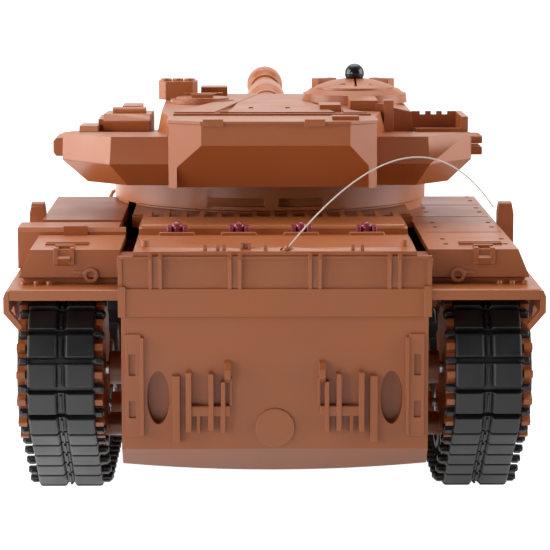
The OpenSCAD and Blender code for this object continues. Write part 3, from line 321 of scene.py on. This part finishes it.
def torn_faces(made):
    """Numbers of the faces that overlap themselves once their edges are rounded."""
    shape = made.evaluated_get(bpy.context.evaluated_depsgraph_get()).to_mesh()
    shape.calc_loop_triangles()
    covered = [0.0] * len(shape.polygons)
    for triangle in shape.loop_triangles:
        covered[triangle.polygon_index] += triangle.area
    number = shape.attributes["number"].data
    return {number[f.index].value for f in shape.polygons if covered[f.index] > 1.002 * f.area + 1e-10}


def make_rounded(node):
    """Stands in for a CAD node: its copy, with each edge rounded as far as the faces beside it allow."""
    solid = bmesh.new()
    solid.from_mesh(frame["nodes"][node].data)
    bmesh.ops.remove_doubles(solid, verts=solid.verts, dist=2e-6)
    bmesh.ops.dissolve_limit(solid, angle_limit=math.radians(0.5), verts=solid.verts, edges=solid.edges)
    bmesh.ops.recalc_face_normals(solid, faces=solid.faces)
    weight_name = "bevel_weight_edge"
    layers = solid.edges.layers.float
    weight = layers.get(weight_name) or layers.new(weight_name)
    number = solid.faces.layers.int.new("number")
    for e in solid.edges:
        if not e.is_manifold or e.calc_face_angle(0.0) < math.radians(SHARP):
            continue
        room = min(f.calc_area() / max(x.calc_length() for x in f.edges) for f in e.link_faces)
        near = min(x.calc_length() for v in e.verts for x in v.link_edges)
        e[weight] = max(0.0, min(1.0, FACE_SHARE * min(room, near) / (EDGE_RADIUS * MM)))
        e.smooth = e[weight] > LEAST_ROUNDING
    for i, face in enumerate(solid.faces):
        face[number] = i
        face.smooth = True
    data = bpy.data.meshes.new(node + "_moulding")
    solid.to_mesh(data)
    solid.free()
    data.materials.append(LOOKS[SLOT[node]])
    made = new_object(node + "_moulding", data)
    bevel = made.modifiers.new("rounded edges", "BEVEL")
    bevel.limit_method = "WEIGHT"
    bevel.width = EDGE_RADIUS * MM
    bevel.segments = 2
    bevel.use_clamp_overlap = False
    # the edges of a face that would tear stay sharp
    for _ in range(TEARING_PASSES):
        torn = torn_faces(made)
        for edge_index in {data.loops[k].edge_index for i in torn for k in data.polygons[i].loop_indices}:
            rounding = data.attributes[weight_name].data[edge_index]
            if rounding.value > 0:
                rounding.value = 0.0
                data.edges[edge_index].use_edge_sharp = True
        if not torn:
            break
        data.update()
    made.modifiers.new("flat faces", "WEIGHTED_NORMAL").keep_sharp = True
    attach(made, BODY[node])
    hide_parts(node)


# ---------- measures taken from the frame, in millimetres ----------

def box_mm(node):
    low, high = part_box(node)
    return Vector(low) / MM, Vector(high) / MM


def centre_mm(node):
    low, high = box_mm(node)
    return (low + high) / 2


TRACK_LOW, TRACK_HIGH = box_mm("track_right")
TRACK_IN, TRACK_OUT = TRACK_LOW.x, TRACK_HIGH.x
TRACK_MIDDLE = (TRACK_IN + TRACK_OUT) / 2
SPROCKET_TEETH = 16
SPROCKET_RIM = 20.15    # radius on which the band lies
BAND = 1.6              # thickness of the belt's band
BAND_STEPS = 308        # cross sections along the band
SHOE = 2.4              # height of the shoes over the band
PLAY = 0.35             # gap between the wheels and the band
SIDES = (("left", -1), ("right", 1))
HULL_HALF = box_mm("upper_hull")[1].x + 0.2     # outer face of the skirts, behind their panels
ROOF_TOP = box_mm("turret_shell")[1].z - 4      # the turret's roof, under the shell's highest point
GUN_PIVOT = (0, 45, 109)
GUN_REST_TILT = 1.3     # degrees up


# ---------- tracks ----------

def wheel_circle(node, rim=None):
    """(y, z, radius of the belt's middle line) of a wheel."""
    low, high = box_mm(node)
    middle = (low + high) / 2
    return middle.y, middle.z, (rim or (high.z - low.z) / 2) + PLAY + BAND / 2


class BeltPath:
    """The closed line of a belt round four wheels, anticlockwise as seen with +Y to the right."""

    def __init__(self, circles):
        self.circles = circles
        self.headings, self.runs = [], []
        for i, (y, z, r) in enumerate(circles):
            ny, nz, nr = circles[(i + 1) % len(circles)]
            gap = math.hypot(ny - y, nz - z)
            self.headings.append(math.atan2(nz - z, ny - y) + math.asin((r - nr) / gap))
            self.runs.append(math.sqrt(gap ** 2 - (r - nr) ** 2))
        self.arcs = [r * ((self.headings[i] - self.headings[i - 1]) % TURN)
                     for i, (_, _, r) in enumerate(circles)]
        self.length = sum(self.runs) + sum(self.arcs)
        # the whole number of links whose pitch is nearest the sprocket's
        self.links = round(self.length / (TURN * circles[-1][2] / SPROCKET_TEETH))
        self.pitch = self.length / self.links

    def at(self, s):
        """(y, z, heading) at a length along the belt."""
        s %= self.length
        for i, (y, z, r) in enumerate(self.circles):
            if s <= self.arcs[i] + self.runs[i]:
                along = min(s, self.arcs[i])
                t, run = self.headings[i - 1] + along / r, s - along
                return y + r * math.sin(t) + run * math.cos(t), z - r * math.cos(t) + run * math.sin(t), t
            s -= self.arcs[i] + self.runs[i]
        return self.at(0.0)

    def place(self, s):
        """Puts a link with X across, Y along and Z outward at a length along the belt."""
        y, z, t = self.at(s)
        c, n = math.cos(t), math.sin(t)
        return Matrix(((1, 0, 0, 0), (0, -c, n, y), (0, -n, -c, z), (0, 0, 0, 1)))


def link_shape(pitch):
    """One track shoe: two pads either side of a grooved middle, with two guide horns on its inner face."""
    link = Shape()
    half = 0.447 * pitch
    edge = TRACK_MIDDLE - TRACK_IN
    top = BAND / 2 + SHOE
    for side in (-1, 1):
        pad = [(edge, 0.1), (edge, top - 0.5), (edge - 0.6, top),
               (1.9, top), (0.95, top - 1.25), (0.95, 0.1)]
        link.prism("Y", [(TRACK_MIDDLE + side * x, z) for x, z in pad], -half, half, edge=0.4)
        link.prism("X", [(-0.5, -0.5), (0.5, -0.5), (0.25, -2.6), (-0.25, -2.6)],
                   TRACK_MIDDLE + side * 0.9 - 0.5, TRACK_MIDDLE + side * 0.9 + 0.5, edge=0.15)
    # the groove's floor and the rib along it
    for wide, short, low, high in ((1.0, 0.1, 0.1, top - 1.3), (0.35, 0.8, top - 1.5, top - 0.5)):
        link.block((TRACK_MIDDLE - wide, TRACK_MIDDLE + wide), (-half + short, half - short), (low, high),
                   edge=0.15)
    return link


def knob_shape():
    """The rounded connectors at both ends of the gap between two shoes."""
    knobs = Shape()
    for inner, outer in ((TRACK_IN - 3.2, TRACK_IN + 0.6), (TRACK_OUT - 0.6, TRACK_OUT + 3.1)):
        knobs.bar((inner, 0, 0.7), (outer, 0, 0.7), 1.25, sides=16, edge=0.55)
        knobs.block((inner + 0.7, outer - 0.7), (-1.0, 1.0), (0.6, 2.3), edge=0.4)
    return knobs


def make_track(side, sign):
    """The band with its shoes and connectors, as one piece on the hull."""
    circles = [wheel_circle(f"road_wheel_{side}_1"), wheel_circle(f"road_wheel_{side}_6"),
               wheel_circle(f"idler_{side}"), wheel_circle(f"sprocket_{side}", SPROCKET_RIM)]
    path = BeltPath(circles)
    track = Shape()
    track.belt([path.at(path.length * k / BAND_STEPS) for k in range(BAND_STEPS)], TRACK_IN, TRACK_OUT, BAND)
    link, knobs = link_shape(path.pitch), knob_shape()
    for k in range(path.links):
        track.add(link, path.place(k * path.pitch))
        track.add(knobs, path.place((k + 0.5) * path.pitch))
    track.move((0, 0, 0), sign)
    track.piece(f"track_{side}_belt", "hull", "track_rubber", (f"track_{side}",))


# ---------- wheels ----------

def angles_round(count, start=0.0):
    """Angles spaced evenly round a wheel."""
    return [start + TURN * k / count for k in range(count)]


def bolts(shape, count, circle, x, radius, sides=6, edge=0.2):
    """Bolt heads between two values of x, on a circle round a wheel's axis."""
    for a in angles_round(count):
        y, z = circle * math.cos(a), circle * math.sin(a)
        shape.bar((x[0], y, z), (x[1], y, z), radius, sides=sides, edge=edge)


def ribs(shape, count, x, reach, half, edge):
    """Radial ribs between two radii, starting half a step round from +Y."""
    for a in angles_round(count, TURN / 2 / count):
        shape.block(x, reach, (-half, half), edge=edge, place=Matrix.Rotation(a, 4, "X"))


def make_road_wheel(side, sign, n):
    """A dished twin disc with ribs and bolts, and two rubber tyres."""
    node = f"road_wheel_{side}_{n}"
    low, high = box_mm(node)
    middle = (low + high) / 2
    r = (high.z - low.z) / 2
    bore = 1.56
    disc = Shape()
    disc.lathe([(bore, 57.6), (5, 57.6), (6, 59.2), (12.6, 59.2), (r - 2.5, 58.4), (r - 2.5, 65.6),
                (11, 66.4), (11, 69.2), (r - 2.5, 70), (r - 2.5, 77), (r - 3.2, 77.6), (r - 4.2, 77.6),
                (r - 5, 76.2), (8.6, 75.2), (6.6, 75.2), (5.8, 78.2), (4, 79), (bore, 79)], edge=0.25)
    bolts(disc, 8, 9.6, (74.6, 76.2), 0.85)
    ribs(disc, 8, (74.9, 76.1), (6.2, 11.6), 0.45, edge=0.2)
    bolts(disc, 5, 2.9, (78.6, 79.3), 0.5, sides=12, edge=0.12)
    tyres = Shape()
    for x0, x1 in ((57.6, 65.8), (69.8, 77.6)):
        tyres.lathe([(r - 2.6, x0 + 0.3), (r - 0.5, x0 + 0.1), (r, x0 + 0.7),
                     (r, x1 - 0.7), (r - 0.5, x1 - 0.1), (r - 2.6, x1 - 0.3)], edge=0)
    for shape in (disc, tyres):
        shape.move((0, middle.y, middle.z), sign)
    disc.piece(f"road_wheel_{side}_{n}_disc", BODY[node], "sand_plastic", (node,))
    tyres.piece(f"road_wheel_{side}_{n}_tyres", BODY[node], "track_rubber")


def make_hub_caps():
    """A domed cap and bolts on each sprocket, and ribs on each idler."""
    for side, sign in SIDES:
        sprocket, idler = f"sprocket_{side}", f"idler_{side}"
        cap, idler_ribs = Shape(), Shape()
        cap.lathe([(0.01, 80.2), (6.4, 80.2), (6.4, 81), (5.4, 82), (2.6, 82.6), (0.01, 82.6)], edge=0.2)
        bolts(cap, 10, 12.6, (76.2, 78.6), 0.8)
        ribs(idler_ribs, 6, (75.2, 76.8), (7, 13.4), 0.6, edge=0.25)
        for shape, node, name in ((cap, sprocket, f"{sprocket}_cap"), (idler_ribs, idler, f"{idler}_ribs")):
            hub = centre_mm(node)
            shape.move((0, hub.y, hub.z), sign)
            shape.piece(name, BODY[node], "sand_plastic")


# ---------- small pieces ----------

def make_antenna():
    """A fine wire that bows over to the right, on the line of the frame's thicker one."""
    start, guide, end = Vector((3.4, -147, 86)), Vector((43.8, -147, 137.1)), Vector((68.8, -147, 99.6))
    wire = Shape()
    steps = 72
    wire.sweep([start * (1 - t) ** 2 + guide * 2 * t * (1 - t) + end * t * t
                for t in [k / steps for k in range(steps + 1)]], 0.24)
    wire.piece("antenna_strand", "hull", "antenna_wire", ("antenna",))


def make_receiver():
    """A glossy black ball on a thin stem."""
    low, high = box_mm("receiver_dome")
    middle = (low + high) / 2
    radius = (high.x - low.x) / 2
    centre = (middle.x, middle.y, high.z - radius)
    ball = Shape()
    ball.ball(centre, radius)
    ball.bar((middle.x, middle.y, low.z), centre, 1.2)
    ball.piece("receiver_ball", "turret", "black_plastic", ("receiver_dome",))


def make_lamps():
    """Four red lamps in the groove of the rear deck: a base strip, two lobes and a domed middle."""
    strips = Shape()
    for k, x in enumerate((-31.6, -11.4, 9.0, 30.4)):
        lamp = Shape()
        strips.block((x - 5.8, x + 5.8), (-118.2, -117.0), (86.05, 88.3), edge=0.4)
        for dx in (-3.4, 1.8):
            lamp.block((x + dx, x + dx + 1.6), (-117.1, -113.2), (86.05, 90.2), edge=0.45)
        lamp.bar((x, -114.6, 85.0), (x, -114.6, 89.4), 1.9, sides=32)
        lamp.ball((x, -114.6, 89.4), 2.0)
        lamp.piece(f"deck_lamp_{k + 1}", "hull", "red_clear_plastic", ("deck_lamps",) if k == 0 else ())
    strips.piece("deck_lamp_strips", "hull", "sand_plastic")


GLACIS_TOP = (24, 87.5)     # (y, z) where the front deck starts to slope
GLACIS_FALL = 0.2293
PERISCOPES = (-8.5, 0, 8.5)


def glacis_z(y):
    """Height of the sloping front deck."""
    return GLACIS_TOP[1] - GLACIS_FALL * (y - GLACIS_TOP[0])


def make_screw_heads():
    """Screw heads along the skirts, and pairs of smaller ones near the middle of their panels."""
    heads = Shape()
    for sign in (-1, 1):
        near, outer, proud = (sign * (HULL_HALF + step) for step in (-0.8, 0.35, 0.95))
        inner = sign * (HULL_HALF + 0.3)
        for y in (-100, -52, -4, 44):
            heads.bar((near, y, 68), (outer, y, 68), 0.9, sides=20, edge=0.3)
        for y in (-76, -28, 20):
            for z in (63.5, 69.5):
                heads.bar((inner, y, z), (proud, y, z), 0.65, sides=16, edge=0.25)
    heads.piece("skirt_screw_heads", "hull", "sand_plastic")


def make_hull_fittings():
    """Periscopes with their glass, round covers, headlight hoops, towing shackles and tow bracket bars."""
    fittings = Shape()
    base = glacis_z(97)
    for x in PERISCOPES:
        fittings.prism("X", [(94, base), (98.5, base - 1.2), (98.5, base + 2.6),
                             (96.5, base + 3.6), (94, base + 3.2)], x - 3, x + 3, edge=0.4)
    for sign in (-1, 1):
        deck = glacis_z(40)
        fittings.bar((sign * 32, 40, deck - 0.5), (sign * 32, 40, deck + 1.4), 4.2, sides=40, edge=0.4)
        hoop = [(55.5, 139, 60.4), (55.5, 141.5, 69), (58, 141.5, 74), (62, 141, 75.6),
                (66, 141.5, 74), (68.5, 141.5, 69), (68.5, 139, 60.4)]
        fittings.sweep([(sign * x, y, z) for x, y, z in hoop], 0.8)
        fittings.sweep([(sign * 29.5 + 2.6 * math.cos(a), 157.6 + 1.0 * math.sin(a), 54 + 2.6 * math.sin(a))
                        for a in [math.radians(t) for t in range(160, 381, 20)]], 0.7)
        # cross bars and prongs of the tow brackets on the rear plate
        fittings.block(sorted((sign * 14.2, sign * 27.4)), (-152.6, -149.6), (33.9, 37.2), edge=0.3)
        for x in (16.9, 20.6, 24.2):
            fittings.prism("Z", [(sign * x - 0.75, -149.6), (sign * x + 0.75, -149.6),
                                 (sign * x + 0.6, -152.3), (sign * x - 0.6, -152.3)], 29.6, 35, edge=0.2)
    fittings.piece("hull_fittings", "hull", "sand_plastic")
    glass = Shape()
    for x in PERISCOPES:
        glass.block((x - 2.3, x + 2.3), (98.3, 98.75), (base + 0.2, base + 2.3), edge=0.1)
    glass.piece("periscope_glass", "hull", "black_plastic")


def make_turret_fittings():
    """Lifting eyes on the roof, a strip behind the bustle that closes its gap, and the glass of the sight."""
    top = ROOF_TOP
    fittings = Shape()
    for x in (-22, 22):
        fittings.sweep([(x + across, 38, top + up)
                        for across, up in ((-2.2, -0.6), (-1.8, 1.2), (0, 2), (1.8, 1.2), (2.2, -0.6))], 0.7)
    fittings.block((-33, 33), (-71, -68.2), (108, top - 2), edge=0.4)
    fittings.piece("turret_fittings", "turret", "sand_plastic")
    glass = Shape()
    left = box_mm("gunner_sight")[0].x
    glass.block((left + 2.2, left + 12.0), (24.4, 25.0), (top + 1.6, top + 5.2), edge=0.1)
    glass.piece("sight_glass", "turret", "black_plastic")


def make_gun_straps():
    """Bands round the barrel's sleeve, tilted with the gun."""
    straps = Shape()
    for at in (74, 88, 148, 170):
        straps.lathe([(5.8, at - 0.9), (6.95, at - 0.9), (7.15, at), (6.95, at + 0.9), (5.8, at + 0.9)],
                     edge=0, axis="Y")
    tilt = Matrix.Rotation(math.radians(GUN_REST_TILT), 4, "X")
    bmesh.ops.transform(straps.mesh, matrix=Matrix.Translation(GUN_PIVOT) @ tilt, verts=straps.mesh.verts)
    straps.piece("gun_straps", "gun", "sand_plastic")


# ---------- floor, light and camera ----------

WORLD_BEHIND, WORLD_AHEAD = 0.1, 1.0        # brightness behind the camera and beyond the tank
SHEEN_LEFT, SHEEN_RIGHT = 1.5, 0.15         # strength of the floor's glow in the plastic's reflections, a painted sheen
CAMERA_DROP, CAMERA_TURN = 8.0, -0.707      # degrees below level, and to the right of +Y


def make_world():
    """White as the camera sees it, and brighter beyond the tank than behind the camera as a light."""
    world = bpy.data.worlds.new("studio")
    world.use_nodes = True
    tree = world.node_tree
    tree.nodes.clear()

    def add(kind, **settings):
        node = tree.nodes.new(kind)
        for key, value in settings.items():
            setattr(node, key, value)
        return node

    way = add("ShaderNodeTexCoord")
    split = add("ShaderNodeSeparateXYZ")
    tree.links.new(way.outputs["Generated"], split.inputs[0])
    ramp = add("ShaderNodeMapRange")
    ends = {"From Min": -0.6, "From Max": 0.5, "To Min": WORLD_BEHIND, "To Max": WORLD_AHEAD}
    for key, value in ends.items():
        ramp.inputs[key].default_value = value
    tree.links.new(split.outputs["Y"], ramp.inputs["Value"])
    lit, seen = add("ShaderNodeBackground"), add("ShaderNodeBackground")
    for node in (lit, seen):
        node.inputs["Color"].default_value = rgb(1.0, 1.0, 1.0)
    tree.links.new(ramp.outputs["Result"], lit.inputs["Strength"])
    ray, mix, out = add("ShaderNodeLightPath"), add("ShaderNodeMixShader"), add("ShaderNodeOutputWorld")
    tree.links.new(ray.outputs["Is Camera Ray"], mix.inputs[0])
    tree.links.new(lit.outputs[0], mix.inputs[1])
    tree.links.new(seen.outputs[0], mix.inputs[2])
    tree.links.new(mix.outputs[0], out.inputs[0])
    bpy.context.scene.world = world


def make_floor():
    """A plain pale floor, white to the camera, that glows in the plastic's glossy reflections to paint a sheen.
    """
    n = Nodes("floor")
    n.set(Base_Color=rgb(0.45, 0.45, 0.45), Roughness=0.9)
    # white as the camera sees it, and a painted reflection: the floor glows only for glossy rays, brighter to
    # the left, to paint a soft sheen on the plastic
    rays = n.add("ShaderNodeLightPath").outputs
    across = n.add("ShaderNodeSeparateXYZ", {"Vector": n.coords()}).outputs["X"]
    reflected = n.map(across, -0.06, 0.16, SHEEN_LEFT, SHEEN_RIGHT)
    sheen = n.add("ShaderNodeMath", {0: rays["Is Glossy Ray"], 1: reflected}, operation="MULTIPLY")
    glow = n.add("ShaderNodeMath", {0: rays["Is Camera Ray"], 1: sheen.outputs[0]}, operation="ADD")
    n.set(Emission_Color=rgb(1.0, 1.0, 1.0), Emission_Strength=glow.outputs[0])
    size = 6.0
    mesh = bpy.data.meshes.new("floor")
    corners = [(-size, -size, 0), (size, -size, 0), (size, size, 0), (-size, size, 0)]
    mesh.from_pydata(corners, [], [(0, 1, 2, 3)])
    mesh.materials.append(n.material)
    new_object("floor", mesh)


def area_light(name, place, target, size, power):
    """A soft square light that the camera doesn't see."""
    data = bpy.data.lights.new(name, "AREA")
    data.size = size
    data.energy = power
    light = new_object(name, data)
    light.location = place
    light.visible_camera = False
    light.rotation_euler = (Vector(target) - Vector(place)).to_track_quat("-Z", "Y").to_euler()


def make_camera():
    """Behind the tank, a little left of its middle, looking slightly down at the rear plate."""
    data = bpy.data.cameras.new("camera")
    data.sensor_width = 36.0
    data.lens = 163.6
    data.clip_end = 50.0
    camera = new_object("camera", data)
    camera.location = (-0.0096, -0.928, 0.188)
    camera.rotation_euler = Euler((math.radians(90.0 - CAMERA_DROP), 0.0, math.radians(CAMERA_TURN)))
    bpy.context.scene.camera = camera


for side, sign in SIDES:
    make_track(side, sign)
    for n in range(1, 7):
        make_road_wheel(side, sign, n)
make_hub_caps()
make_antenna()
make_receiver()
make_lamps()
make_screw_heads()
make_hull_fittings()
make_turret_fittings()
make_gun_straps()
for node in ("upper_hull", "lower_hull", "rear_deck", "side_skirt_left", "side_skirt_right", "turret_base",
             "turret_shell", "bustle_box", "cupola", "gunner_sight", "smoke_launchers", "side_bin_left",
             "side_bin_right", "loader_hatch", "mantlet", "gun_barrel", "sprocket_left", "sprocket_right",
             "idler_left", "idler_right"):
    make_rounded(node)

make_world()
make_floor()
area_light("left softbox", (-1.05, -0.12, 0.36), (0.0, 0.0, 0.07), 0.9, 14.0)
area_light("right softbox", (1.05, -0.12, 0.36), (0.0, 0.0, 0.07), 0.9, 11.0)
area_light("overhead", (0.0, 0.35, 1.0), (0.0, 0.0, 0.08), 0.8, 5.0)
area_light("fill beside the camera", (-0.62, -0.8, 0.2), (0.0, -0.1, 0.06), 0.35, 1.9)
make_camera()
bpy.context.scene.view_settings.view_transform = "Standard"
